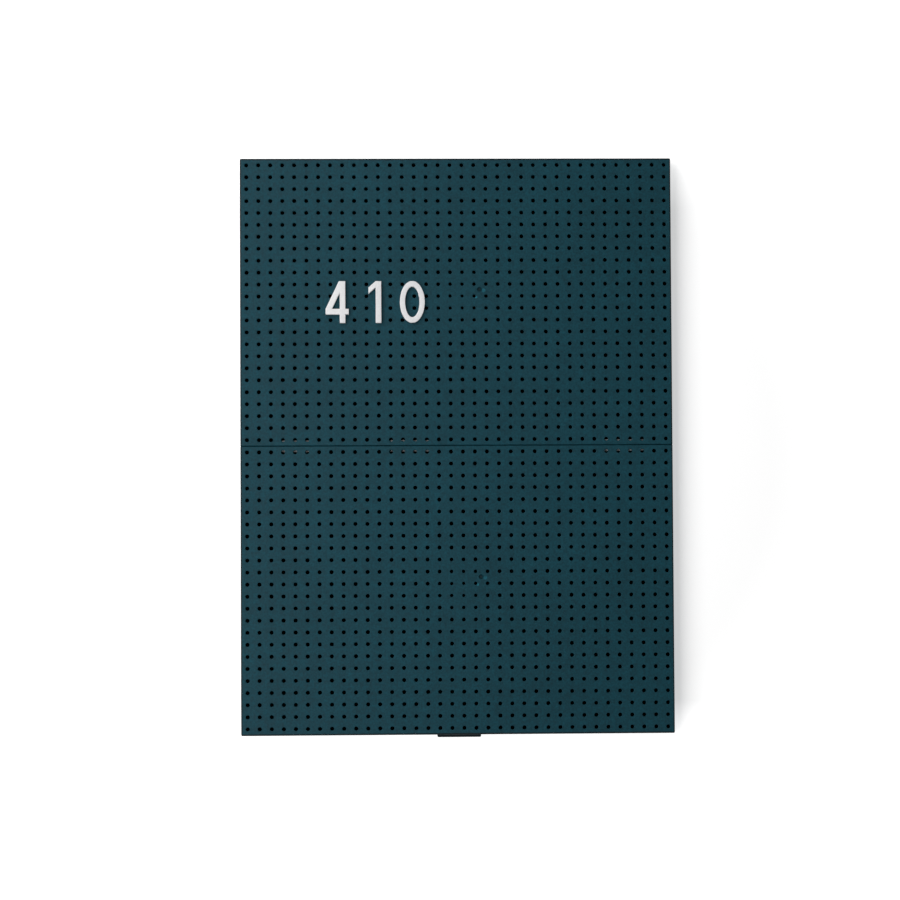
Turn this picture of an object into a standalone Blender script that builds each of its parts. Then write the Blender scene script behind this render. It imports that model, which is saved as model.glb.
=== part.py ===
"""A wall message board: two perforated plastic panels, clipped edge to edge, with three peg numerals.

Lengths are metres. X runs across the board, +Z is up, and the face looks towards -Y.
Every piece is drawn in the board's own frame and hangs from one empty. In that frame y = 0 is
the panels' face, y grows towards the wall, z = 0 is the middle of the seam between the panels
and x = 0 is the middle of the board. The empty's place puts the world's origin at the middle
of the board's overall box.

Columns of holes are counted from the left and rows from the top of a panel, both from 0.
"""

import math

import bmesh
import bpy
from mathutils import Matrix, Vector

# The hole pattern
HOLE_PITCH = 0.00635
HOLE_DIAMETER = 0.0021
COLUMNS = 36
ROWS = 24
SIDE_MARGIN = 0.0035
OUTER_MARGIN = 0.0035
SEAM_MARGIN = 0.0031
POCKET_FLOOR = 0.0004

# The panel moulding
PLATE = 0.0024
PANEL_DEPTH = 0.011
SKIRT = 0.0016
CORNER_RADIUS = 0.0007
INNER_CORNER_RADIUS = 0.0004
EDGE_RADIUS = 0.0005
CORNER_RETURN = 0.006
RIB_THICKNESS = 0.0012
RIB_HEIGHT = 0.003
RIB_BAYS = 3
GATE_COLUMN = 19.5
GATE_ROW = 10.5
GATE_DIAMETER = 0.0024
GATE_DEPTH = 0.0003

# The joint between two panels
SEAM_GAP = 0.0003
TONGUE_PLACE = 0.0005
TONGUE_WIDTH = 0.0231
TONGUE_REACH = 0.0016
TONGUE_THICKNESS = 0.002
TONGUE_CHAMFER = 0.0004
TONGUE_SETBACK = 0.0045
FIT_CLEARANCE = 0.0003

# The clips that hold the panels together, slid on from behind at any place along the seam. Each
# place is a share of the way from the middle of the board to its side
CLIP_LENGTH = 0.022
CLIP_LEG = 0.001
CLIP_WEB = 0.0015
CLIP_CORNER = 0.0004
CLIP_PLACES = {"left": -0.745, "middle": -0.213, "right": 0.778}

# The peg numerals
CAP_HEIGHT = 0.0222
STROKE = 0.003
SLANT_WIDTH = 0.0034
NUMERAL_THICKNESS = 0.0024
NUMERAL_EDGE_RADIUS = 0.0004
NUMERAL_SEAT_GAP = 0.0003
PIN_CLEARANCE = 0.0003
PIN_LENGTH = 0.0045
BASELINE_BELOW_HOLE = 0.0017
BASELINE_ROW = 13
FOUR_WIDTH = 0.0123
FOUR_BAR_HEIGHT = 0.0045
FOUR_BAR_END = 0.0018
FOUR_APEX = 0.0004
FOUR_PINS = ((8, 11), (8, 13))
ONE_FLAG_REACH = 0.0038
ONE_FLAG_DROP = 0.0034
ONE_PINS = ((11, 11), (11, 13))
ZERO_WIDTH = 0.0132
ZERO_SIDE_STROKE = 0.0028
ZERO_PINS = ((13, 11), (13, 12))

# How finely round things are drawn
CORNER_STEPS = 4
EDGE_STEPS = 2
PIN_SIDES = 16
GATE_SIDES = 20
RING_STEPS = 36

# How far a cutting or joining tool runs past the surface that it meets
TOOL_OVERRUN = 0.0005

# Sizes that follow from the ones above
PANEL_WIDTH = (COLUMNS - 1) * HOLE_PITCH + 2 * SIDE_MARGIN
PANEL_HEIGHT = (ROWS - 1) * HOLE_PITCH + OUTER_MARGIN + SEAM_MARGIN
UPPER_MIDDLE = (PANEL_HEIGHT + SEAM_GAP) / 2
LOWER_MIDDLE = -UPPER_MIDDLE
GRID_SHIFT = (OUTER_MARGIN - SEAM_MARGIN) / 2
UPPER_GRID = UPPER_MIDDLE - GRID_SHIFT
LOWER_GRID = -UPPER_GRID
POCKET_SIDE = HOLE_DIAMETER * math.sqrt(math.pi) / 2
PIN_DIAMETER = HOLE_DIAMETER - 2 * PIN_CLEARANCE
END_SKIRT_DEPTH = PANEL_DEPTH - CLIP_WEB - FIT_CLEARANCE
BASELINE = UPPER_GRID + ((ROWS - 1) / 2 - BASELINE_ROW) * HOLE_PITCH - BASELINE_BELOW_HOLE

TEAL = (0.0085, 0.044, 0.059, 1.0)
WHITE = (0.78, 0.78, 0.80, 1.0)


def clear_scene():
    """Starts from nothing."""
    for thing in list(bpy.data.objects):
        bpy.data.objects.remove(thing, do_unlink=True)


def plastic(name, colour, roughness):
    """A moulded plastic."""
    material = bpy.data.materials.new(name)
    material.use_nodes = True
    shader = material.node_tree.nodes["Principled BSDF"]
    shader.inputs["Base Color"].default_value = colour
    shader.inputs["Roughness"].default_value = roughness
    shader.inputs["Metallic"].default_value = 0.0
    material.diffuse_color = colour
    return material


def hole_x(column):
    """Where a column of holes stands."""
    return (column - (COLUMNS - 1) / 2) * HOLE_PITCH


def hole_z(row):
    """Where a row of holes lies, from the middle of its panel's holes."""
    return ((ROWS - 1) / 2 - row) * HOLE_PITCH


def add_object(name, bm, board, material):
    """Turns a bmesh into a shaded object that hangs from the board."""
    bmesh.ops.recalc_face_normals(bm, faces=bm.faces)
    mesh = bpy.data.meshes.new(name)
    bm.to_mesh(mesh)
    bm.free()
    mesh.materials.append(material)
    thing = bpy.data.objects.new(name, mesh)
    bpy.context.collection.objects.link(thing)
    thing.parent = board
    return thing


def add_tool(name, bm, owner, operation):
    """Joins or cuts a hidden shape, drawn in its owner's frame, to or from that owner."""
    bmesh.ops.recalc_face_normals(bm, faces=bm.faces)
    mesh = bpy.data.meshes.new(name)
    bm.to_mesh(mesh)
    bm.free()
    tool = bpy.data.objects.new(name, mesh)
    bpy.context.collection.objects.link(tool)
    tool.parent = owner
    tool.hide_render = True
    tool.display_type = "WIRE"
    modifier = owner.modifiers.new(name, "BOOLEAN")
    modifier.operation = operation
    modifier.solver = "EXACT"
    modifier.object = tool


def box_shape(low, high):
    """A plain block between two corners."""
    bm = bmesh.new()
    size = Vector(high) - Vector(low)
    middle = (Vector(high) + Vector(low)) / 2
    place = Matrix.Translation(middle) @ Matrix.Diagonal((*size, 1.0))
    bmesh.ops.create_cube(bm, size=1.0, matrix=place)
    return bm


def add_peg(bm, x, z, front, back, radius, sides):
    """A straight round peg along Y, added to a shape."""
    turned = Matrix.Rotation(math.radians(90), 4, "X")
    place = Matrix.Translation((x, (front + back) / 2, z)) @ turned
    bmesh.ops.create_cone(
        bm,
        cap_ends=True,
        segments=sides,
        radius1=radius,
        radius2=radius,
        depth=back - front,
        matrix=place,
    )


def extruded(outline, front, back):
    """A solid whose outline is a list of (x, z) points, from y = front to y = back."""
    bm = bmesh.new()
    near = [bm.verts.new((x, front, z)) for x, z in outline]
    far = [bm.verts.new((x, back, z)) for x, z in outline]
    bm.faces.new(near)
    bm.faces.new(far)
    for i in range(len(outline)):
        j = (i + 1) % len(outline)
        bm.faces.new((near[i], near[j], far[j], far[i]))
    return bm


def arc(centre_x, centre_z, radius_x, radius_z, start, end, steps):
    """Points along part of an ellipse, from one angle to the other, in degrees."""
    points = []
    for i in range(steps + 1):
        angle = math.radians(start + (end - start) * i / steps)
        x = centre_x + radius_x * math.cos(angle)
        z = centre_z + radius_z * math.sin(angle)
        points.append((x, z))
    return points


def rounded_ring(bm, inset, radius, y):
    """A ring of vertices round the panel's outline, drawn in by inset, at depth y."""
    half_x = PANEL_WIDTH / 2 - inset
    half_z = PANEL_HEIGHT / 2 - inset
    ring = []
    for turn, (side_x, side_z) in enumerate(((1, 1), (-1, 1), (-1, -1), (1, -1))):
        centre_x = side_x * (half_x - radius)
        centre_z = side_z * (half_z - radius)
        corner = arc(centre_x, centre_z, radius, radius, turn * 90, turn * 90 + 90, CORNER_STEPS)
        ring += [bm.verts.new((x, y, z)) for x, z in corner]
    return ring


def pocket_edges(count):
    """The near and the far edge of each hole along one axis, from the middle of the holes."""
    edges = []
    for i in range(count):
        middle = (i - (count - 1) / 2) * HOLE_PITCH
        edges += [middle - POCKET_SIDE / 2, middle + POCKET_SIDE / 2]
    return edges


def add_hole_field(bm, grid, open_holes):
    """The face between the outermost holes, with a tapered blind hole at each crossing.

    The holes in open_holes, as (column, row), stay flat here: they are cut right through later.
    The holes' middle lies at height grid. Returns the edges round the field.
    """
    lines_x = pocket_edges(COLUMNS)
    lines_z = [grid + z for z in pocket_edges(ROWS)]
    grid = [[bm.verts.new((x, 0, z)) for x in lines_x] for z in lines_z]
    pockets = []
    for j in range(len(lines_z) - 1):
        for i in range(len(lines_x) - 1):
            face = bm.faces.new((grid[j][i], grid[j][i + 1], grid[j + 1][i + 1], grid[j + 1][i]))
            is_hole = i % 2 == 0 and j % 2 == 0
            hole = (i // 2, ROWS - 1 - j // 2)
            if is_hole and hole not in open_holes:
                pockets.append(face)
    rim = [edge for edge in bm.edges if edge.is_boundary]
    tips = bmesh.ops.poke(bm, faces=pockets)["verts"]
    for tip in tips:
        tip.co.y = PLATE - POCKET_FLOOR
    return rim


def panel_shape(grid, open_holes):
    """The tray: a perforated plate with a skirt all round it, open at the back."""
    bm = bmesh.new()
    rim = add_hole_field(bm, grid, open_holes)
    rings = []
    for i in range(EDGE_STEPS + 1):
        angle = math.radians(90 * i / EDGE_STEPS)
        inset = EDGE_RADIUS * (1 - math.sin(angle))
        depth = EDGE_RADIUS * (1 - math.cos(angle))
        rings.append(rounded_ring(bm, inset, CORNER_RADIUS - inset, depth))
    rings.append(rounded_ring(bm, 0, CORNER_RADIUS, PANEL_DEPTH))
    rings.append(rounded_ring(bm, SKIRT, INNER_CORNER_RADIUS, PANEL_DEPTH))
    rings.append(rounded_ring(bm, SKIRT, INNER_CORNER_RADIUS, PLATE))
    for outer, inner in zip(rings, rings[1:]):
        for i in range(len(outer)):
            j = (i + 1) % len(outer)
            bm.faces.new((outer[i], outer[j], inner[j], inner[i]))
    bm.faces.new(rings[-1])
    front = rings[0]
    rim += [bm.edges.get((front[i - 1], front[i])) for i in range(len(front))]
    bmesh.ops.triangle_fill(bm, edges=rim, use_beauty=True)
    return bm


def add_ribs(panel, grid):
    """Low stiffening ribs on the back of the plate, between rows and columns of holes.

    The upright ones stop short of the end skirts, so that a clip can sit at any place.
    """
    half = RIB_THICKNESS / 2
    front = PLATE - POCKET_FLOOR / 2
    back = PLATE + RIB_HEIGHT
    reach_x = (PANEL_WIDTH - SKIRT) / 2
    reach_z = PANEL_HEIGHT / 2 - SKIRT - CLIP_LEG - 2 * FIT_CLEARANCE
    for number in range(1, RIB_BAYS):
        x = hole_x(round(COLUMNS * number / RIB_BAYS) - 0.5)
        rib = box_shape((x - half, front, -reach_z), (x + half, back, reach_z))
        add_tool(f"{panel.name}_upright_rib_{number}", rib, panel, "UNION")
        z = grid + hole_z(round(ROWS * number / RIB_BAYS) - 0.5)
        rib = box_shape((-reach_x, front, z - half), (reach_x, back, z + half))
        add_tool(f"{panel.name}_level_rib_{number}", rib, panel, "UNION")


def cut_end_skirts(panel):
    """Lowers the top and bottom skirts between the corners, which leaves room for a clip's web."""
    half_x = PANEL_WIDTH / 2 - CORNER_RETURN
    back = PANEL_DEPTH + TOOL_OVERRUN
    for name, side in (("top", 1), ("bottom", -1)):
        near = side * (PANEL_HEIGHT / 2 - SKIRT - TOOL_OVERRUN)
        far = side * (PANEL_HEIGHT / 2 + TOOL_OVERRUN)
        low = (-half_x, END_SKIRT_DEPTH, min(near, far))
        high = (half_x, back, max(near, far))
        add_tool(f"{panel.name}_{name}_skirt_cut", box_shape(low, high), panel, "DIFFERENCE")


def add_tongue_and_slot(panel):
    """A tongue under the bottom edge, and the slot in the top edge that takes another's tongue."""
    left = TONGUE_PLACE - TONGUE_WIDTH / 2
    right = TONGUE_PLACE + TONGUE_WIDTH / 2
    edge = -PANEL_HEIGHT / 2
    tip = edge - TONGUE_REACH
    root = edge + SKIRT / 2
    outline = [
        (left, root),
        (left, tip + TONGUE_CHAMFER),
        (left + TONGUE_CHAMFER, tip),
        (right - TONGUE_CHAMFER, tip),
        (right, tip + TONGUE_CHAMFER),
        (right, root),
    ]
    tongue = extruded(outline, TONGUE_SETBACK, TONGUE_SETBACK + TONGUE_THICKNESS)
    add_tool(f"{panel.name}_tongue", tongue, panel, "UNION")
    low = (
        left - FIT_CLEARANCE,
        TONGUE_SETBACK - FIT_CLEARANCE,
        PANEL_HEIGHT / 2 - SKIRT - TOOL_OVERRUN,
    )
    high = (
        right + FIT_CLEARANCE,
        TONGUE_SETBACK + TONGUE_THICKNESS + FIT_CLEARANCE,
        PANEL_HEIGHT / 2 + TOOL_OVERRUN,
    )
    add_tool(f"{panel.name}_slot", box_shape(low, high), panel, "DIFFERENCE")


def cut_gate_mark(panel, grid):
    """The shallow round sink in the face, where the plastic was let into the mould."""
    bm = bmesh.new()
    x = hole_x(GATE_COLUMN)
    z = grid + hole_z(GATE_ROW)
    add_peg(bm, x, z, -TOOL_OVERRUN, GATE_DEPTH, GATE_DIAMETER / 2, GATE_SIDES)
    add_tool(f"{panel.name}_gate_mark", bm, panel, "DIFFERENCE")


def cut_open_holes(panel, grid, open_holes):
    """Round holes right through the plate, where the numerals' pins stand."""
    bm = bmesh.new()
    back = PLATE + TOOL_OVERRUN
    for column, row in open_holes:
        x = hole_x(column)
        z = grid + hole_z(row)
        add_peg(bm, x, z, -TOOL_OVERRUN, back, HOLE_DIAMETER / 2, PIN_SIDES)
    add_tool(f"{panel.name}_pin_holes", bm, panel, "DIFFERENCE")


def add_panel(name, middle, holes_middle, open_holes, board, material):
    """One panel. Its outline's middle is at height middle, and that of its holes at holes_middle."""
    grid = holes_middle - middle
    panel = add_object(name, panel_shape(grid, open_holes), board, material)
    panel.location.z = middle
    add_ribs(panel, grid)
    cut_end_skirts(panel)
    add_tongue_and_slot(panel)
    cut_gate_mark(panel, grid)
    if open_holes:
        cut_open_holes(panel, grid, open_holes)


def add_clip(name, x, board, material):
    """A U-shaped clip over the two skirts at the seam, with its tips just behind the plates."""
    inner = SEAM_GAP / 2 + SKIRT + FIT_CLEARANCE
    outer = inner + CLIP_LEG
    tip = PLATE + FIT_CLEARANCE
    web = END_SKIRT_DEPTH + FIT_CLEARANCE
    back = web + CLIP_WEB
    corner = CLIP_CORNER
    outline = [
        (tip, inner),
        (web, inner),
        (web, -inner),
        (tip, -inner),
        (tip, -outer),
        (back - corner, -outer),
        (back, -outer + corner),
        (back, outer - corner),
        (back - corner, outer),
        (tip, outer),
    ]
    bm = bmesh.new()
    left = [bm.verts.new((-CLIP_LENGTH / 2, y, z)) for y, z in outline]
    section = bm.faces.new(left)
    swept = bmesh.ops.extrude_face_region(bm, geom=[section])["geom"]
    moved = [item for item in swept if isinstance(item, bmesh.types.BMVert)]
    bmesh.ops.translate(bm, verts=moved, vec=(CLIP_LENGTH, 0, 0))
    clip = add_object(name, bm, board, material)
    clip.location.x = x


def outline_four(left):
    """The numeral 4: its outline and its counter. Its stem stands short of the bar's right end."""
    right = left + FOUR_WIDTH
    stem_right = right - FOUR_BAR_END
    stem_left = stem_right - STROKE
    bar_top = FOUR_BAR_HEIGHT + STROKE
    apex = stem_left - FOUR_APEX
    slope = (CAP_HEIGHT - bar_top) / (apex - left)
    outer = [
        (stem_left, 0),
        (stem_right, 0),
        (stem_right, FOUR_BAR_HEIGHT),
        (right, FOUR_BAR_HEIGHT),
        (right, bar_top),
        (stem_right, bar_top),
        (stem_right, CAP_HEIGHT),
        (apex, CAP_HEIGHT),
        (left, bar_top),
        (left, FOUR_BAR_HEIGHT),
        (stem_left, FOUR_BAR_HEIGHT),
    ]
    counter = [
        (left + SLANT_WIDTH, bar_top),
        (stem_left, bar_top),
        (stem_left, bar_top + slope * (stem_left - left - SLANT_WIDTH)),
    ]
    return outer, [counter]


def outline_one(stem_left):
    """The numeral 1: a stem with a short slanted flag at its top left."""
    stem_right = stem_left + STROKE
    flag = stem_left - ONE_FLAG_REACH
    flag_top = CAP_HEIGHT - ONE_FLAG_DROP
    outer = [
        (stem_left, 0),
        (stem_right, 0),
        (stem_right, CAP_HEIGHT),
        (stem_left, CAP_HEIGHT),
        (flag, flag_top),
        (flag, flag_top - SLANT_WIDTH),
        (stem_left, CAP_HEIGHT - SLANT_WIDTH),
    ]
    return outer, []


def oval(middle, width, height):
    """A closed oval round the middle of the numerals' height."""
    return arc(middle, CAP_HEIGHT / 2, width / 2, height / 2, 0, 360, RING_STEPS)[:-1]


def outline_zero(left):
    """The numeral 0: its outline and its counter."""
    middle = left + ZERO_WIDTH / 2
    inner = oval(middle, ZERO_WIDTH - 2 * ZERO_SIDE_STROKE, CAP_HEIGHT - 2 * STROKE)
    return oval(middle, ZERO_WIDTH, CAP_HEIGHT), [inner]


def add_loop(bm, outline):
    """A closed loop of edges in the numeral's front plane."""
    points = [bm.verts.new((x, -NUMERAL_SEAT_GAP - NUMERAL_THICKNESS, z)) for x, z in outline]
    return [bm.edges.new((points[i - 1], points[i])) for i in range(len(points))]


def add_numeral(name, outlines, pins, board, material):
    """A numeral cut from plate, rounded along its front edge, with pins behind it."""
    bm = bmesh.new()
    outer, counters = outlines
    edges = add_loop(bm, outer)
    for counter in counters:
        edges += add_loop(bm, counter)
    bmesh.ops.triangle_fill(bm, edges=edges, use_beauty=True)
    swept = bmesh.ops.extrude_face_region(bm, geom=list(bm.faces), use_keep_orig=True)["geom"]
    moved = [item for item in swept if isinstance(item, bmesh.types.BMVert)]
    bmesh.ops.translate(bm, verts=moved, vec=(0, NUMERAL_THICKNESS, 0))
    bmesh.ops.recalc_face_normals(bm, faces=bm.faces)
    bmesh.ops.bevel(
        bm,
        geom=edges,
        offset=NUMERAL_EDGE_RADIUS,
        segments=EDGE_STEPS,
        profile=0.5,
        clamp_overlap=True,
        affect="EDGES",
    )
    numeral = add_object(name, bm, board, material)
    numeral.location.z = BASELINE
    peg = bmesh.new()
    root = -NUMERAL_SEAT_GAP - NUMERAL_THICKNESS / 2
    tip = -NUMERAL_SEAT_GAP + PIN_LENGTH
    for column, row in pins:
        z = UPPER_GRID + hole_z(row) - BASELINE
        add_peg(peg, hole_x(column), z, root, tip, PIN_DIAMETER / 2, PIN_SIDES)
    add_tool(f"{name}_pins", peg, numeral, "UNION")


def add_board():
    """The empty that carries every piece, placed so that the origin is the box's middle."""
    front = -NUMERAL_SEAT_GAP - NUMERAL_THICKNESS
    top = UPPER_MIDDLE + PANEL_HEIGHT / 2
    bottom = LOWER_MIDDLE - PANEL_HEIGHT / 2 - TONGUE_REACH
    board = bpy.data.objects.new("board", None)
    board.location = (0, -(front + PANEL_DEPTH) / 2, -(top + bottom) / 2)
    bpy.context.collection.objects.link(board)
    return board


def build():
    """The whole message board."""
    clear_scene()
    teal = plastic("teal_plastic", TEAL, 0.55)
    white = plastic("white_plastic", WHITE, 0.45)
    board = add_board()
    numeral_holes = FOUR_PINS + ONE_PINS + ZERO_PINS
    add_panel("upper_panel", UPPER_MIDDLE, UPPER_GRID, numeral_holes, board, teal)
    add_panel("lower_panel", LOWER_MIDDLE, LOWER_GRID, (), board, teal)
    for name, share in CLIP_PLACES.items():
        add_clip(f"joining_clip_{name}", share * PANEL_WIDTH / 2, board, white)
    left_four = hole_x(FOUR_PINS[0][0]) + STROKE / 2 + FOUR_BAR_END - FOUR_WIDTH
    stem_one = hole_x(ONE_PINS[0][0]) - STROKE / 2
    left_zero = hole_x(ZERO_PINS[0][0]) - ZERO_SIDE_STROKE / 2
    add_numeral("numeral_four", outline_four(left_four), FOUR_PINS, board, white)
    add_numeral("numeral_one", outline_one(stem_one), ONE_PINS, board, white)
    add_numeral("numeral_zero", outline_zero(left_zero), ZERO_PINS, board, white)


build()
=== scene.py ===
"""The looks of a wall message board: perforated teal panels, white clips behind the seam and white
peg numerals, on a pale wall.

Everything is in metres, in the frame's own coordinates: +Z up, the face towards -Y, the wall at +Y.
"""

import math

import bmesh
import bpy
import numpy as np
from mathutils import Matrix, Vector


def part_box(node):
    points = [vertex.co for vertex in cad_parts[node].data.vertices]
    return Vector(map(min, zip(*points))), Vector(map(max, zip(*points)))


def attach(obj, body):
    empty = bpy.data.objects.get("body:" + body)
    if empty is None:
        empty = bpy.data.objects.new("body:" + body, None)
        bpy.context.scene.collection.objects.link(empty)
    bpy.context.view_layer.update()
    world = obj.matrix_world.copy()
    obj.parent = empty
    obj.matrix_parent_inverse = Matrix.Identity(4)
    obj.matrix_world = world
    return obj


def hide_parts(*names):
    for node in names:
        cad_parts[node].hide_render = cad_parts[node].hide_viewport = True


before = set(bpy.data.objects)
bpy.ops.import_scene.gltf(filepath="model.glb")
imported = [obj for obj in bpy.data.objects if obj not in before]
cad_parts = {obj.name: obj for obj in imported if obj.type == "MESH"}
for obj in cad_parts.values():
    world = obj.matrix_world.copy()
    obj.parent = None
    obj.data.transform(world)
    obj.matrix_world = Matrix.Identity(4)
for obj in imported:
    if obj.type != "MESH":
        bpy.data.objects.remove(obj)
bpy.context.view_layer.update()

# Sizes of the panel moulding
HOLE_PITCH = 0.00635
HOLE_DIAMETER = 0.0021
COLUMNS = 36
ROWS = 24
PLATE = 0.0024
SKIRT = 0.0016
CORNER_RADIUS = 0.0007
SEAM_CORNER_RADIUS = 0.0002
INNER_CORNER_RADIUS = 0.00045
EDGE_RADIUS = 0.0005
INNER_EDGE_RADIUS = 0.00015
CORNER_RETURN = 0.006
END_SKIRT_SETBACK = 0.0018
RIB_THICKNESS = 0.0012
RIB_HEIGHT = 0.003
RIB_BAYS = 3
RIB_END_GAP = 0.0032
SEAM_GAP = 0.0003
SEAM_MARGIN = 0.0031
SEAM_LIP = 0.00012
SEAM_LIP_DEPTH = 0.0009
TONGUE_PLACE = 0.0005
TONGUE_WIDTH = 0.0231
TONGUE_THICKNESS = 0.002
TONGUE_CHAMFER = 0.0004
TONGUE_SETBACK = 0.0045
FIT_CLEARANCE = 0.0003
GATE_PLACE = (19.45, 10.45)
GATE_DIAMETER = 0.0026
GATE_DEPTH = 0.0008
GATE_TAPER = 0.6

# The holes' rims, and how the flow of plastic narrowed the holes beside the gate
HOLE_SIDES = 20
HOLE_RIM = 0.00022
NARROWED_PLACE = (18.0, 11.4)
NARROWED_SHARE = 0.2
NARROWED_REACH = 1.5
HOLE_SPREAD = 0.012
UPPER_SEED = 11
LOWER_SEED = 12

# The clips
CLIP_LEG = 0.001
CLIP_WEB = 0.0015
CLIP_CORNER = 0.0004
CLIP_EDGE_RADIUS = 0.0002
CLIP_TIP_END = 0.0032

# The numerals
CAP_HEIGHT = 0.0222
STROKE = 0.003
SLANT_WIDTH = 0.0034
NUMERAL_STAND = 0.0027
NUMERAL_SEAT = 0.00004
NUMERAL_EDGE_RADIUS = 0.0002
PIN_DIAMETER = 0.0015
PIN_REACH = 0.0042
BASELINE_BELOW_HOLE = 0.0017
BASELINE_ROW = 13
FOUR_WIDTH = 0.0123
FOUR_BAR_HEIGHT = 0.0045
FOUR_BAR_END = 0.0018
FOUR_APEX = 0.0004
FOUR_PINS = ((8, 11), (8, 13))
ONE_FLAG_REACH = 0.0038
ONE_FLAG_DROP = 0.0034
ONE_PINS = ((11, 11), (11, 13))
ZERO_WIDTH = 0.0132
ZERO_SIDE_STROKE = 0.0028
ZERO_PINS = ((13, 11), (13, 12))

# How finely round things are drawn, and how far a cutting shape runs past what it cuts
CORNER_STEPS = 6
INNER_EDGE_STEPS = 2
CLIP_EDGE_STEPS = 3
NUMERAL_EDGE_STEPS = 3
PIN_SIDES = 24
GATE_SIDES = 32
GATE_STEPS = 5
RING_STEPS = 72
OVERRUN = 0.0005
SMOOTH_ANGLE = math.radians(20)
NUMERAL_SMOOTH_ANGLE = math.radians(35)
INNER_EDGE_ANGLE = math.radians(60)
CLIP_EDGE_ANGLE = math.radians(30)

# The camera: where it stands and looks, measured from the middle of the seam on the face
CAMERA_FROM_FACE = Vector((-0.0446, -1.3869, -0.0513))
AIM_FROM_FACE = Vector((-0.00373, 0.0, -0.00242))
CAMERA_ROLL = math.radians(-0.31)
LENS_MM = 104.78
SENSOR_MM = 36.0
NEAREST_SEEN = 0.01

# Colours, as linear light
TEAL = (0.0040, 0.0415, 0.0580)
WHITE = (0.79, 0.79, 0.80)
WALL = (0.80, 0.80, 0.80)

# The plastics: roughness, specular level, and how much the tone varies
TEAL_SURFACE = (0.48, 0.12, 0.1)
CLIP_SURFACE = (0.42, 0.5, 0.015)
NUMERAL_SURFACE = (0.36, 0.4, 0.015)

# How the plastic varies: features to the metre with their shares; painted spots at the gate as (place,
# radius, tone)
NOISE_RANGE = (0.3, 0.7)
TONE_SCALES = ((14.0, 0.5), (50.0, 0.4), (150.0, 0.6), (420.0, 1.2), (1000.0, 2.4))
GLOSS_SCALE = 420.0
GRAIN_SCALE = 2600.0
GRAIN_DEPTH = 0.00002
GRAIN_STRENGTH = 0.5
GLOSS_SPREAD = 0.06
# Painted shade: the band along the board's front edges and the tongue are darkened in colour to this share
EDGE_SHADE_BAND = 0.0009
EDGE_SHADE_TONE = 0.12
# Painted highlights on the lit side of the gate's sink and on a burr beside a hole, and a dark spot that
# is partly the gate's darker plastic and partly painted shade
GATE_SHADE_AND_HIGHLIGHTS = (
    ((19.8, 10.53), 0.0012, 2.2),
    ((19.45, 10.45), 0.0014, 0.3),
    ((19.17, 11.1), 0.0008, 3.5),
)
MARK_CORE = 0.6
# Painted shade on the clips' tips behind the holes, greyest at the left
CLIP_TIP_SHADE_REACH = (-0.02, 0.06)
CLIP_TIP_SHADE_DARKEST = 0.35

# The light. The wall's glow grows from its first to its second value over these reaches: away from
# the board's middle, and past its top and bottom edges
AMBIENT = 0.155
KEY_PLACE = (-0.32, -0.51, 0.09)
KEY_SIZE = (0.5, 1.2)
KEY_POWER = 4.7
SIDE_PLACE = (2.0, -0.03, 0.1)
SIDE_SIZE = (0.06, 1.0)
SIDE_POWER = 12.0
BACK_PLACE = (0.5, 1.3, 0.6)
BACK_SIZE = (0.9, 0.9)
BACK_POWER = 16.0
WALL_HALF_SIZE = 4.0
WALL_CLEARANCE = 0.0002
COVER_OVERLAP = 0.0003
WALL_GLOW = (0.5, 0.8)
GLOW_REACH = (0.17, 0.3)
ABOVE_GLOW_REACH = (-0.027, 0.008)
BELOW_GLOW_REACH = (-0.018, -0.003)

# Places that follow from the frame
UPPER_LOW, UPPER_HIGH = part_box("upper_panel")
LOWER_LOW, LOWER_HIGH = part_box("lower_panel")
FACE_Y = UPPER_LOW.y
WALL_Y = UPPER_HIGH.y
PANEL_WIDTH = UPPER_HIGH.x - UPPER_LOW.x
SEAM_Z = LOWER_HIGH.z + SEAM_GAP / 2
PANEL_HEIGHT = UPPER_HIGH.z - SEAM_Z - SEAM_GAP / 2
TONGUE_REACH = LOWER_HIGH.z - LOWER_LOW.z - PANEL_HEIGHT
UPPER_MIDDLE = SEAM_Z + (PANEL_HEIGHT + SEAM_GAP) / 2
LOWER_MIDDLE = SEAM_Z - (PANEL_HEIGHT + SEAM_GAP) / 2
GRID_FROM_SEAM = SEAM_GAP / 2 + SEAM_MARGIN + (ROWS - 1) / 2 * HOLE_PITCH
UPPER_GRID = SEAM_Z + GRID_FROM_SEAM
LOWER_GRID = SEAM_Z - GRID_FROM_SEAM
END_SKIRT_BACK = WALL_Y - END_SKIRT_SETBACK


def hole_x(column):
    """Where a column of holes stands."""
    return (column - (COLUMNS - 1) / 2) * HOLE_PITCH


def hole_z(row):
    """Where a row of holes lies, from the middle of its panel's holes."""
    return ((ROWS - 1) / 2 - row) * HOLE_PITCH


def arc(centre_x, centre_z, radius_x, radius_z, start, end, steps):
    """Points along part of an ellipse, from one angle to the other, in degrees."""
    points = []
    for i in range(steps + 1):
        angle = math.radians(start + (end - start) * i / steps)
        points.append((centre_x + radius_x * math.cos(angle), centre_z + radius_z * math.sin(angle)))
    return points


def add_box(bm, low, high):
    """A plain block between two corners."""
    size = Vector(high) - Vector(low)
    middle = (Vector(high) + Vector(low)) / 2
    bmesh.ops.create_cube(bm, size=1.0, matrix=Matrix.Translation(middle) @ Matrix.Diagonal((*size, 1.0)))


def add_turned(bm, x, z, profile, sides):
    """A closed turned shape round an axis along Y. profile is a list of (radius, y)."""
    rings = []
    for radius, y in profile:
        ring = []
        for i in range(sides):
            angle = 2 * math.pi * i / sides
            ring.append(bm.verts.new((x + radius * math.cos(angle), y, z + radius * math.sin(angle))))
        rings.append(ring)
    bm.faces.new(rings[0])
    bm.faces.new(list(reversed(rings[-1])))
    for near, far in zip(rings, rings[1:]):
        for i in range(sides):
            j = (i + 1) % sides
            bm.faces.new((near[j], near[i], far[i], far[j]))


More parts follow.
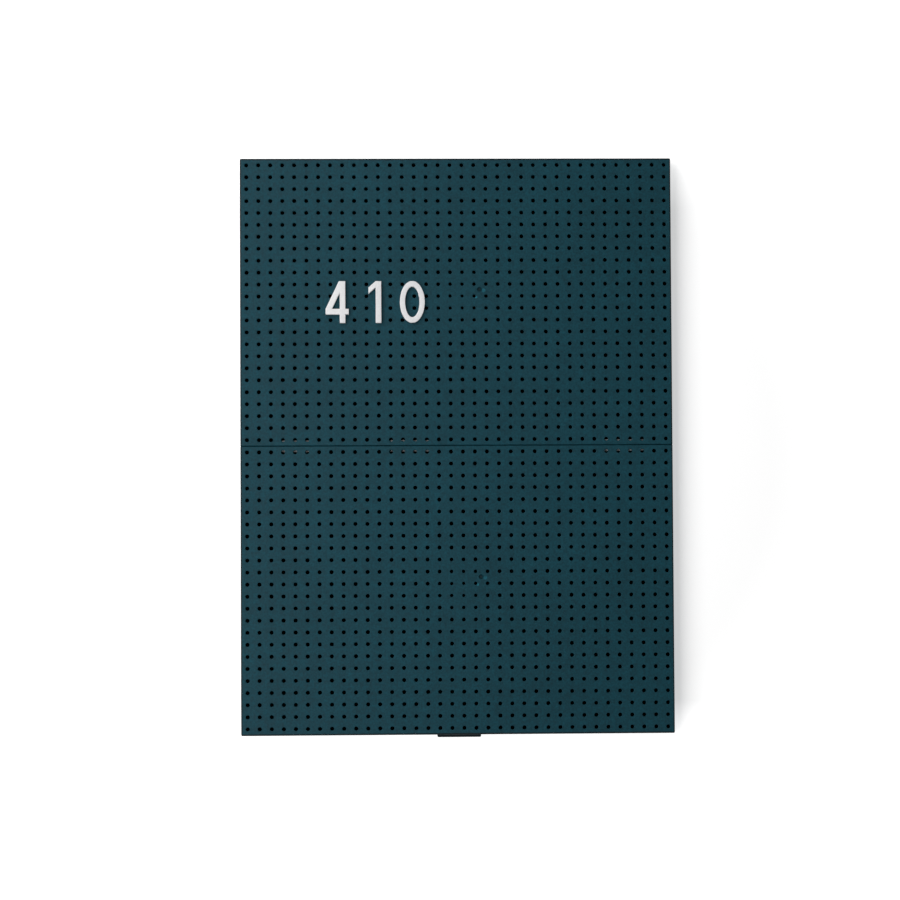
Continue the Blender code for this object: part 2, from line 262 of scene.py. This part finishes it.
def rounded_outline(half_x, half_z, top_radius, bottom_radius, steps):
    """A rounded rectangle as (x, z) points."""
    points = []
    for turn, (side_x, side_z) in enumerate(((1, 1), (-1, 1), (-1, -1), (1, -1))):
        radius = top_radius if side_z > 0 else bottom_radius
        centre_x = side_x * (half_x - radius)
        centre_z = side_z * (half_z - radius)
        points += arc(centre_x, centre_z, radius, radius, turn * 90, turn * 90 + 90, steps)
    return points


def add_sections(bm, sections):
    """A closed solid through sections of equally many (x, z) points. sections is a list of (points, y)."""
    rings = [[bm.verts.new((x, y, z)) for x, z in points] for points, y in sections]
    bm.faces.new(rings[0])
    bm.faces.new(list(reversed(rings[-1])))
    for near, far in zip(rings, rings[1:]):
        for i in range(len(near)):
            j = (i + 1) % len(near)
            bm.faces.new((near[j], near[i], far[i], far[j]))


def new_object(name, bm):
    """An object from a bmesh, with its faces turned outwards."""
    bmesh.ops.recalc_face_normals(bm, faces=bm.faces)
    mesh = bpy.data.meshes.new(name)
    bm.to_mesh(mesh)
    bm.free()
    thing = bpy.data.objects.new(name, mesh)
    bpy.context.scene.collection.objects.link(thing)
    return thing


def combine(thing, bm, operation):
    """Joins or cuts a shape to or from thing, at once."""
    tool = new_object(thing.name + "_tool", bm)
    modifier = thing.modifiers.new(operation, "BOOLEAN")
    modifier.operation = operation
    modifier.solver = "MANIFOLD"
    modifier.object = tool
    apply_modifiers(thing)
    bpy.data.objects.remove(tool)


def apply_modifiers(thing):
    """Leaves the mesh as its modifiers make it."""
    graph = bpy.context.evaluated_depsgraph_get()
    mesh = bpy.data.meshes.new_from_object(thing.evaluated_get(graph))
    thing.modifiers.clear()
    thing.data = mesh


def soften_edges(thing, width, segments, angle):
    """Rounds every edge sharper than angle."""
    modifier = thing.modifiers.new("soften", "BEVEL")
    modifier.width = width
    modifier.segments = segments
    modifier.limit_method = "ANGLE"
    modifier.angle_limit = angle
    modifier.use_clamp_overlap = True
    modifier.harden_normals = False
    apply_modifiers(thing)


def dress(thing, node, material, angle):
    """Finishes a piece that stands for a CAD node: smooth up to an angle, in its material."""
    thing.data.shade_smooth()
    thing.data.set_sharp_from_angle(angle=angle)
    thing.data.materials.clear()
    thing.data.materials.append(material)
    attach(thing, "root")
    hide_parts(node)


def panel_block(name, middle):
    """The outer form of a panel, solid: its rounded front and the lip behind the seam's groove."""
    top_radius, bottom_radius = (CORNER_RADIUS, SEAM_CORNER_RADIUS)
    if middle < SEAM_Z:
        top_radius, bottom_radius = (SEAM_CORNER_RADIUS, CORNER_RADIUS)
    bm = bmesh.new()
    sections = []
    for i in range(CORNER_STEPS + 1):
        angle = math.radians(90 * i / CORNER_STEPS)
        inset = EDGE_RADIUS * (1 - math.sin(angle))
        depth = EDGE_RADIUS * (1 - math.cos(angle))
        half_x = PANEL_WIDTH / 2 - inset
        half_z = PANEL_HEIGHT / 2 - inset
        radii = [max(radius - inset, SEAM_CORNER_RADIUS / 2) for radius in (top_radius, bottom_radius)]
        points = rounded_outline(half_x, half_z, *radii, CORNER_STEPS)
        sections.append(([(x, z + middle) for x, z in points], FACE_Y + depth))
    to_seam = math.copysign(1.0, SEAM_Z - middle)
    lip = [(x, z + to_seam * SEAM_LIP if (z - middle) * to_seam > 0 else z) for x, z in sections[-1][0]]
    sections += [(lip, FACE_Y + SEAM_LIP_DEPTH), (lip, WALL_Y)]
    add_sections(bm, sections)
    return new_object(name, bm)


def hollow_out(panel, middle):
    """Cuts the hollow behind the plate."""
    bm = bmesh.new()
    half_x = PANEL_WIDTH / 2 - SKIRT
    half_z = PANEL_HEIGHT / 2 - SKIRT
    points = rounded_outline(half_x, half_z, INNER_CORNER_RADIUS, INNER_CORNER_RADIUS, CORNER_STEPS)
    points = [(x, z + middle) for x, z in points]
    add_sections(bm, [(points, FACE_Y + PLATE), (points, WALL_Y + OVERRUN)])
    combine(panel, bm, "DIFFERENCE")


def add_ribs(panel, middle, grid):
    """Joins the low ribs to the back of the plate."""
    half = RIB_THICKNESS / 2
    front = FACE_Y + PLATE - OVERRUN
    back = FACE_Y + PLATE + RIB_HEIGHT
    reach_x = (PANEL_WIDTH - SKIRT) / 2
    reach_z = PANEL_HEIGHT / 2 - RIB_END_GAP
    for number in range(1, RIB_BAYS):
        x = hole_x(round(COLUMNS * number / RIB_BAYS) - 0.5)
        bm = bmesh.new()
        add_box(bm, (x - half, front, middle - reach_z), (x + half, back, middle + reach_z))
        combine(panel, bm, "UNION")
        z = grid + hole_z(round(ROWS * number / RIB_BAYS) - 0.5)
        bm = bmesh.new()
        add_box(bm, (-reach_x, front, z - half), (reach_x, back, z + half))
        combine(panel, bm, "UNION")


def shape_ends(panel, middle):
    """Lowers the end skirts, adds the tongue below and cuts the slot above."""
    half_x = PANEL_WIDTH / 2 - CORNER_RETURN
    for side in (1, -1):
        inner = middle + side * (PANEL_HEIGHT / 2 - SKIRT - OVERRUN)
        outer = middle + side * (PANEL_HEIGHT / 2 + OVERRUN)
        bm = bmesh.new()
        low = (-half_x, END_SKIRT_BACK, min(inner, outer))
        add_box(bm, low, (half_x, WALL_Y + OVERRUN, max(inner, outer)))
        combine(panel, bm, "DIFFERENCE")
    left = TONGUE_PLACE - TONGUE_WIDTH / 2
    right = TONGUE_PLACE + TONGUE_WIDTH / 2
    tip = middle - PANEL_HEIGHT / 2 - TONGUE_REACH
    root = middle - PANEL_HEIGHT / 2 + SKIRT / 2
    outline = [
        (left, root),
        (left, tip + TONGUE_CHAMFER),
        (left + TONGUE_CHAMFER, tip),
        (right - TONGUE_CHAMFER, tip),
        (right, tip + TONGUE_CHAMFER),
        (right, root),
    ]
    front = FACE_Y + TONGUE_SETBACK
    bm = bmesh.new()
    add_sections(bm, [(outline, front), (outline, front + TONGUE_THICKNESS)])
    combine(panel, bm, "UNION")
    bm = bmesh.new()
    top = middle + PANEL_HEIGHT / 2
    low = (left - FIT_CLEARANCE, front - FIT_CLEARANCE, top - SKIRT - OVERRUN)
    back = front + TONGUE_THICKNESS + FIT_CLEARANCE
    add_box(bm, low, (right + FIT_CLEARANCE, back, top + OVERRUN))
    combine(panel, bm, "DIFFERENCE")


def drill(panel, grid, seed):
    """Cuts every round hole, with its rounded rim, and the sink of the gate mark."""
    chance = np.random.default_rng(seed)
    bm = bmesh.new()
    for row in range(ROWS):
        for column in range(COLUMNS):
            away = math.hypot(column - NARROWED_PLACE[0], row - NARROWED_PLACE[1])
            narrowed = 1 - NARROWED_SHARE * math.exp(-((away / NARROWED_REACH) ** 2) / 2)
            radius = HOLE_DIAMETER / 2 * narrowed * (1 + HOLE_SPREAD * chance.standard_normal())
            profile = [(radius + HOLE_RIM, FACE_Y - OVERRUN), (radius + HOLE_RIM, FACE_Y)]
            halfway = HOLE_RIM * (1 - math.sqrt(0.5))
            profile.append((radius + halfway, FACE_Y + halfway))
            profile.append((radius, FACE_Y + HOLE_RIM))
            profile.append((radius, FACE_Y + PLATE + OVERRUN))
            add_turned(bm, hole_x(column), grid + hole_z(row), profile, HOLE_SIDES)
    gate = [(GATE_DIAMETER / 2 + OVERRUN, FACE_Y - OVERRUN)]
    for i in range(GATE_STEPS):
        share = i / GATE_STEPS
        depth = GATE_DEPTH * math.sin(share * math.pi / 2)
        gate.append((GATE_DIAMETER / 2 * (1 - share * GATE_TAPER), FACE_Y + depth))
    add_turned(bm, hole_x(GATE_PLACE[0]), grid + hole_z(GATE_PLACE[1]), gate, GATE_SIDES)
    combine(panel, bm, "DIFFERENCE")


def make_panel(name, node, middle, grid, material, seed):
    """One whole panel, which stands for its CAD node. Its holes' middle lies at height grid."""
    panel = panel_block(name, middle)
    hollow_out(panel, middle)
    add_ribs(panel, middle, grid)
    shape_ends(panel, middle)
    soften_edges(panel, INNER_EDGE_RADIUS, INNER_EDGE_STEPS, INNER_EDGE_ANGLE)
    drill(panel, grid, seed)
    dress(panel, node, material, SMOOTH_ANGLE)


def make_clip(name, node, material):
    """A U-shaped clip over the two skirts at the seam, with rounded edges, for its CAD node."""
    low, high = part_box(node)
    inner = (high.z - low.z) / 2 - CLIP_LEG
    outer = (high.z - low.z) / 2
    web = high.y - CLIP_WEB
    outline = [
        (low.y, inner),
        (web, inner),
        (web, -inner),
        (low.y, -inner),
        (low.y, -outer),
        (high.y - CLIP_CORNER, -outer),
        (high.y, -outer + CLIP_CORNER),
        (high.y, outer - CLIP_CORNER),
        (high.y - CLIP_CORNER, outer),
        (low.y, outer),
    ]
    bm = bmesh.new()
    ends = [[bm.verts.new((x, y, SEAM_Z + z)) for y, z in outline] for x in (low.x, high.x)]
    bm.faces.new(ends[0])
    bm.faces.new(list(reversed(ends[1])))
    for i in range(len(outline)):
        bm.faces.new((ends[0][i - 1], ends[0][i], ends[1][i], ends[1][i - 1]))
    clip = new_object(name, bm)
    soften_edges(clip, CLIP_EDGE_RADIUS, CLIP_EDGE_STEPS, CLIP_EDGE_ANGLE)
    dress(clip, node, material, SMOOTH_ANGLE)


def outline_four(left):
    """The numeral 4: its outline and its counter. Its stem stands short of the bar's right end."""
    right = left + FOUR_WIDTH
    stem_right = right - FOUR_BAR_END
    stem_left = stem_right - STROKE
    bar_top = FOUR_BAR_HEIGHT + STROKE
    apex = stem_left - FOUR_APEX
    slope = (CAP_HEIGHT - bar_top) / (apex - left)
    outer = [
        (stem_left, 0),
        (stem_right, 0),
        (stem_right, FOUR_BAR_HEIGHT),
        (right, FOUR_BAR_HEIGHT),
        (right, bar_top),
        (stem_right, bar_top),
        (stem_right, CAP_HEIGHT),
        (apex, CAP_HEIGHT),
        (left, bar_top),
        (left, FOUR_BAR_HEIGHT),
        (stem_left, FOUR_BAR_HEIGHT),
    ]
    counter = [
        (left + SLANT_WIDTH, bar_top),
        (stem_left, bar_top),
        (stem_left, bar_top + slope * (stem_left - left - SLANT_WIDTH)),
    ]
    return outer, [counter]


def outline_one(stem_left):
    """The numeral 1: a stem with a short slanted flag at its top left."""
    stem_right = stem_left + STROKE
    flag = stem_left - ONE_FLAG_REACH
    flag_top = CAP_HEIGHT - ONE_FLAG_DROP
    outer = [
        (stem_left, 0),
        (stem_right, 0),
        (stem_right, CAP_HEIGHT),
        (stem_left, CAP_HEIGHT),
        (flag, flag_top),
        (flag, flag_top - SLANT_WIDTH),
        (stem_left, CAP_HEIGHT - SLANT_WIDTH),
    ]
    return outer, []


def oval(middle, width, height):
    """A closed oval round the middle of the numerals' height."""
    return arc(middle, CAP_HEIGHT / 2, width / 2, height / 2, 0, 360, RING_STEPS)[:-1]


def outline_zero(left):
    """The numeral 0: its outline and its counter."""
    middle = left + ZERO_WIDTH / 2
    inner = oval(middle, ZERO_WIDTH - 2 * ZERO_SIDE_STROKE, CAP_HEIGHT - 2 * STROKE)
    return oval(middle, ZERO_WIDTH, CAP_HEIGHT), [inner]


def make_numeral(name, node, outlines, pins, material):
    """A numeral with a rounded front edge and its pins, which stands for its CAD node."""
    baseline = UPPER_GRID + hole_z(BASELINE_ROW) - BASELINE_BELOW_HOLE
    front = FACE_Y - NUMERAL_STAND
    thickness = NUMERAL_STAND - NUMERAL_SEAT
    bm = bmesh.new()
    edges = []
    outer, counters = outlines
    for outline in [outer, *counters]:
        points = [bm.verts.new((x, front, baseline + z)) for x, z in outline]
        edges += [bm.edges.new((points[i - 1], points[i])) for i in range(len(points))]
    bmesh.ops.triangle_fill(bm, edges=edges, use_beauty=True)
    swept = bmesh.ops.extrude_face_region(bm, geom=list(bm.faces), use_keep_orig=True)["geom"]
    moved = [item for item in swept if isinstance(item, bmesh.types.BMVert)]
    bmesh.ops.translate(bm, verts=moved, vec=(0, thickness, 0))
    bmesh.ops.recalc_face_normals(bm, faces=bm.faces)
    bmesh.ops.bevel(
        bm,
        geom=edges,
        offset=NUMERAL_EDGE_RADIUS,
        segments=NUMERAL_EDGE_STEPS,
        profile=0.5,
        clamp_overlap=True,
        affect="EDGES",
    )
    numeral = new_object(name, bm)
    for column, row in pins:
        bm = bmesh.new()
        radius = PIN_DIAMETER / 2
        tip = FACE_Y + PIN_REACH
        profile = [(radius, front + thickness / 2), (radius, tip - radius / 2), (radius / 2, tip)]
        add_turned(bm, hole_x(column), UPPER_GRID + hole_z(row), profile, PIN_SIDES)
        combine(numeral, bm, "UNION")
    dress(numeral, node, material, NUMERAL_SMOOTH_ANGLE)


class Nodes:
    """A short way to build a material's node tree."""

    def __init__(self, name):
        self.material = bpy.data.materials.new(name)
        self.material.use_nodes = True
        self.tree = self.material.node_tree
        self.shader = self.tree.nodes["Principled BSDF"]
        self.output = self.tree.nodes["Material Output"]

    def add(self, kind, **settings):
        """A node with its settings."""
        node = self.tree.nodes.new(kind)
        for key, value in settings.items():
            setattr(node, key, value)
        return node

    def feed(self, socket, value):
        """Gives an input socket a value, or joins another node's output to it."""
        if isinstance(value, bpy.types.NodeSocket):
            self.tree.links.new(value, socket)
        else:
            socket.default_value = value

    def maths(self, operation, first, second=0.0, third=0.0):
        """One sum."""
        node = self.add("ShaderNodeMath", operation=operation)
        for socket, value in zip(node.inputs, (first, second, third)):
            self.feed(socket, value)
        return node.outputs[0]

    def blend(self, share, first, second):
        """A share of the second shader over the first."""
        node = self.add("ShaderNodeMixShader")
        for socket, value in zip(node.inputs, (share, first, second)):
            self.feed(socket, value)
        return node.outputs[0]

    def spread(self, value, low, high, new_low, new_high):
        """Maps a range of values onto another."""
        node = self.add("ShaderNodeMapRange")
        for socket, number in zip(node.inputs, (value, low, high, new_low, new_high)):
            self.feed(socket, number)
        return node.outputs[0]

    def noise(self, place, scale, detail, new_low, new_high):
        """Noise with so many features to the metre, mapped onto a range."""
        node = self.add("ShaderNodeTexNoise")
        self.feed(node.inputs["Vector"], place)
        self.feed(node.inputs["Scale"], scale)
        self.feed(node.inputs["Detail"], detail)
        return self.spread(node.outputs[0], *NOISE_RANGE, new_low, new_high)

    def tint(self, colour, level):
        """A colour made lighter or darker by a factor."""
        node = self.add("ShaderNodeMix", data_type="RGBA", blend_type="MULTIPLY")
        self.feed(node.inputs[0], 1.0)
        self.feed(node.inputs[6], (*colour, 1.0))
        self.feed(node.inputs[7], level)
        return node.outputs[2]


def moulded_plastic(name, colour, roughness, specular, unevenness, painted_light_by_place=None):
    """Moulded plastic: a tone that wanders a little, an uneven gloss and the grain of the mould, with
    painted light multiplied into the colour by place where that is given.
    """
    nodes = Nodes(name)
    place = nodes.add("ShaderNodeTexCoord").outputs["Object"]
    tone = 1.0
    for scale, share in TONE_SCALES:
        reach = unevenness * share
        tone = nodes.maths("MULTIPLY", nodes.noise(place, scale, 2.0, 1 - reach, 1 + reach), tone)
    # Painted light: shade or highlights multiplied into the colour by place
    if painted_light_by_place is not None:
        tone = nodes.maths("MULTIPLY", tone, painted_light_by_place(nodes, place))
    nodes.feed(nodes.shader.inputs["Base Color"], nodes.tint(colour, tone))
    gloss = nodes.noise(place, GLOSS_SCALE, 3.0, roughness - GLOSS_SPREAD, roughness + GLOSS_SPREAD)
    nodes.feed(nodes.shader.inputs["Roughness"], gloss)
    nodes.feed(nodes.shader.inputs["Specular IOR Level"], specular)
    bump = nodes.add("ShaderNodeBump")
    nodes.feed(bump.inputs["Strength"], GRAIN_STRENGTH)
    nodes.feed(bump.inputs["Distance"], GRAIN_DEPTH)
    nodes.feed(bump.inputs["Height"], nodes.noise(place, GRAIN_SCALE, 2.0, 0.0, 1.0))
    nodes.feed(nodes.shader.inputs["Normal"], bump.outputs[0])
    return nodes.material


def painted_clip_tip_shade(nodes, place):
    """White, but for the tips behind the holes, which carry painted shade that grows greyer towards the
    left.
    """
    axes = nodes.add("ShaderNodeSeparateXYZ")
    nodes.feed(axes.inputs[0], place)
    tips = nodes.spread(axes.outputs["X"], *CLIP_TIP_SHADE_REACH, CLIP_TIP_SHADE_DARKEST, 1.0)
    rest = nodes.maths("GREATER_THAN", axes.outputs["Y"], FACE_Y + CLIP_TIP_END)
    return nodes.maths("MAXIMUM", tips, rest)


def gate_shade_and_highlights(nodes, place):
    """Painted light at the gate where the plastic was let into the mould: two painted highlights, and a
    dark spot that is partly the gate's own darker plastic and partly painted shade in its sink. 1 on the
    plain face.
    """
    tone = 1.0
    for grid in (UPPER_GRID, LOWER_GRID):
        for (column, row), radius, level in GATE_SHADE_AND_HIGHLIGHTS:
            apart = nodes.add("ShaderNodeVectorMath", operation="DISTANCE")
            nodes.feed(apart.inputs[0], place)
            nodes.feed(apart.inputs[1], (hole_x(column), FACE_Y, grid + hole_z(row)))
            mark = nodes.spread(apart.outputs["Value"], radius, radius * MARK_CORE, 1.0, level)
            tone = nodes.maths("MULTIPLY", mark, tone)
    return tone


def panel_painted_light(nodes, place):
    """Painted light on the panels: painted shade along the board's outline and on the tongue, and painted
    shade and highlights at the gate.
    """
    return nodes.maths("MULTIPLY", painted_edge_shade(nodes, place), gate_shade_and_highlights(nodes, place))


def painted_edge_shade(nodes, place):
    """Painted shade: a darker line along the four front edges of the whole board, and a darker tongue,
    standing in for the shade on the rounded edges and under the board.
    """
    axes = nodes.add("ShaderNodeSeparateXYZ")
    nodes.feed(axes.inputs[0], place)
    from_seam = nodes.maths("ABSOLUTE", nodes.maths("SUBTRACT", axes.outputs["Z"], SEAM_Z))
    beyond_z = nodes.maths("SUBTRACT", from_seam, PANEL_HEIGHT)
    beyond_x = nodes.maths("SUBTRACT", nodes.maths("ABSOLUTE", axes.outputs["X"]), PANEL_WIDTH / 2)
    beyond = nodes.maths("MAXIMUM", beyond_x, beyond_z)
    # Painted shade along the front edges, and on the tongue below
    line = nodes.spread(beyond, -EDGE_SHADE_BAND, -EDGE_SHADE_BAND / 2, 0.0, 1.0)
    line = nodes.maths("MULTIPLY", line, nodes.maths("LESS_THAN", axes.outputs["Y"], FACE_Y + EDGE_RADIUS))
    tongue = nodes.maths("GREATER_THAN", beyond_z, SEAM_GAP)
    return nodes.spread(nodes.maths("MAXIMUM", line, tongue), 0.0, 1.0, 1.0, EDGE_SHADE_TONE)


def seen_directly(nodes):
    """1 for a ray from the camera, from a gloss or through glass, else 0."""
    path = nodes.add("ShaderNodeLightPath").outputs
    mirrored = nodes.maths("MAXIMUM", path["Is Glossy Ray"], path["Is Transmission Ray"])
    return nodes.maths("MAXIMUM", path["Is Camera Ray"], mirrored)


def wall_material():
    """A pale wall that keeps the board's shadow on the right.

    It glows to the camera, so that it comes out white, and most above and below the board, where
    the glow hides the faint shadow. From behind, the camera looks straight through it. The part of
    it that the board covers is painted black to what comes in through the holes, standing in for
    the shade in the hollow behind the plate, and lets light through once the camera has looked
    through it from behind.
    """
    nodes = Nodes("wall")
    path = nodes.add("ShaderNodeLightPath").outputs
    geometry = nodes.add("ShaderNodeNewGeometry").outputs
    axes = nodes.add("ShaderNodeSeparateXYZ")
    nodes.feed(axes.inputs[0], geometry["Position"])
    diffuse = nodes.add("ShaderNodeBsdfDiffuse")
    nodes.feed(diffuse.inputs["Color"], (*WALL, 1.0))
    away = nodes.add("ShaderNodeVectorMath", operation="LENGTH")
    nodes.feed(away.inputs[0], geometry["Position"])
    glow = nodes.add("ShaderNodeEmission")
    level = nodes.spread(away.outputs["Value"], *GLOW_REACH, *WALL_GLOW)
    above = nodes.maths("SUBTRACT", axes.outputs["Z"], SEAM_Z + PANEL_HEIGHT)
    below = nodes.maths("SUBTRACT", SEAM_Z - PANEL_HEIGHT, axes.outputs["Z"])
    for beyond, reach in ((above, ABOVE_GLOW_REACH), (below, BELOW_GLOW_REACH)):
        level = nodes.maths("MAXIMUM", level, nodes.spread(beyond, *reach, *WALL_GLOW))
    nodes.feed(glow.inputs["Strength"], nodes.maths("MULTIPLY", level, seen_directly(nodes)))
    lit = nodes.add("ShaderNodeAddShader")
    nodes.feed(lit.inputs[0], diffuse.outputs[0])
    nodes.feed(lit.inputs[1], glow.outputs[0])
    clear = nodes.add("ShaderNodeBsdfTransparent").outputs[0]
    # Painted shade: the covered part is black to rays from the front, standing in for the shade in the
    # hollow behind the holes
    painted_hollow_shade = nodes.add("ShaderNodeBsdfDiffuse")
    nodes.feed(painted_hollow_shade.inputs["Color"], (0.0, 0.0, 0.0, 1.0))
    crossed = nodes.maths("GREATER_THAN", path["Transparent Depth"], 0.5)
    covered = nodes.blend(crossed, painted_hollow_shade.outputs[0], clear)
    inside_x = nodes.maths("COMPARE", axes.outputs["X"], 0.0, PANEL_WIDTH / 2 + COVER_OVERLAP)
    inside_z = nodes.maths("COMPARE", axes.outputs["Z"], SEAM_Z, PANEL_HEIGHT + COVER_OVERLAP)
    inside = nodes.maths("MULTIPLY", inside_x, inside_z)
    front = nodes.blend(inside, lit.outputs[0], covered)
    from_behind = nodes.maths("MULTIPLY", geometry["Backfacing"], path["Is Camera Ray"])
    nodes.feed(nodes.output.inputs["Surface"], nodes.blend(from_behind, front, clear))
    nodes.tree.nodes.remove(nodes.shader)
    return nodes.material


def make_wall():
    """The wall behind the board, facing the viewer."""
    bm = bmesh.new()
    y = WALL_Y + WALL_CLEARANCE
    corners = [(-1, -1), (1, -1), (1, 1), (-1, 1)]
    bm.faces.new([bm.verts.new((x * WALL_HALF_SIZE, y, z * WALL_HALF_SIZE)) for x, z in corners])
    mesh = bpy.data.meshes.new("wall")
    bm.to_mesh(mesh)
    bm.free()
    wall = bpy.data.objects.new("wall", mesh)
    bpy.context.scene.collection.objects.link(wall)
    mesh.materials.append(wall_material())


def make_world():
    """Even light from all sides, seen as plain white."""
    world = bpy.data.worlds.new("studio")
    bpy.context.scene.world = world
    world.use_nodes = True
    tree = world.node_tree
    path = tree.nodes.new("ShaderNodeLightPath").outputs
    shown = path["Is Camera Ray"]
    for name in ("Is Glossy Ray", "Is Transmission Ray"):
        either = tree.nodes.new("ShaderNodeMath")
        either.operation = "MAXIMUM"
        tree.links.new(shown, either.inputs[0])
        tree.links.new(path[name], either.inputs[1])
        shown = either.outputs[0]
    strength = tree.nodes.new("ShaderNodeMapRange")
    strength.inputs["To Min"].default_value = AMBIENT
    strength.inputs["To Max"].default_value = 1.0
    tree.links.new(shown, strength.inputs["Value"])
    background = tree.nodes["Background"]
    background.inputs["Color"].default_value = (1, 1, 1, 1)
    tree.links.new(strength.outputs["Result"], background.inputs["Strength"])


def make_lamp(name, place, size, power):
    """A soft rectangular lamp, turned towards the board."""
    data = bpy.data.lights.new(name, "AREA")
    data.shape = "RECTANGLE"
    data.size, data.size_y = size
    data.energy = power
    lamp = bpy.data.objects.new(name, data)
    lamp.location = place
    lamp.rotation_euler = (-Vector(place)).to_track_quat("-Z", "Y").to_euler()
    lamp.visible_camera = False
    bpy.context.scene.collection.objects.link(lamp)


def make_camera():
    """The camera at the photograph's viewing angle."""
    face_middle = Vector((0.0, FACE_Y, SEAM_Z))
    data = bpy.data.cameras.new("camera")
    data.lens = LENS_MM
    data.sensor_width = SENSOR_MM
    data.clip_start = NEAREST_SEEN
    camera = bpy.data.objects.new("camera", data)
    turn = (AIM_FROM_FACE - CAMERA_FROM_FACE).to_track_quat("-Z", "Y").to_matrix().to_4x4()
    place = Matrix.Translation(face_middle + CAMERA_FROM_FACE)
    camera.matrix_world = place @ turn @ Matrix.Rotation(CAMERA_ROLL, 4, "Z")
    bpy.context.scene.collection.objects.link(camera)
    bpy.context.scene.camera = camera


bpy.context.scene.view_settings.view_transform = "Standard"
make_camera()
make_world()
make_lamp("key", KEY_PLACE, KEY_SIZE, KEY_POWER)
make_lamp("side", SIDE_PLACE, SIDE_SIZE, SIDE_POWER)
make_lamp("back", BACK_PLACE, BACK_SIZE, BACK_POWER)
make_wall()

teal = moulded_plastic("teal_plastic", TEAL, *TEAL_SURFACE, panel_painted_light)
white = moulded_plastic("white_plastic", WHITE, *CLIP_SURFACE, painted_clip_tip_shade)
numeral_white = moulded_plastic("numeral_plastic", WHITE, *NUMERAL_SURFACE)
make_panel("upper_panel_perforated", "upper_panel", UPPER_MIDDLE, UPPER_GRID, teal, UPPER_SEED)
make_panel("lower_panel_perforated", "lower_panel", LOWER_MIDDLE, LOWER_GRID, teal, LOWER_SEED)
left_four = hole_x(FOUR_PINS[0][0]) + STROKE / 2 + FOUR_BAR_END - FOUR_WIDTH
stem_one = hole_x(ONE_PINS[0][0]) - STROKE / 2
left_zero = hole_x(ZERO_PINS[0][0]) - ZERO_SIDE_STROKE / 2
make_numeral("numeral_four_shape", "numeral_four", outline_four(left_four), FOUR_PINS, numeral_white)
make_numeral("numeral_one_shape", "numeral_one", outline_one(stem_one), ONE_PINS, numeral_white)
make_numeral("numeral_zero_shape", "numeral_zero", outline_zero(left_zero), ZERO_PINS, numeral_white)
for side in ("left", "middle", "right"):
    make_clip(f"clip_{side}_rounded", f"joining_clip_{side}", white)
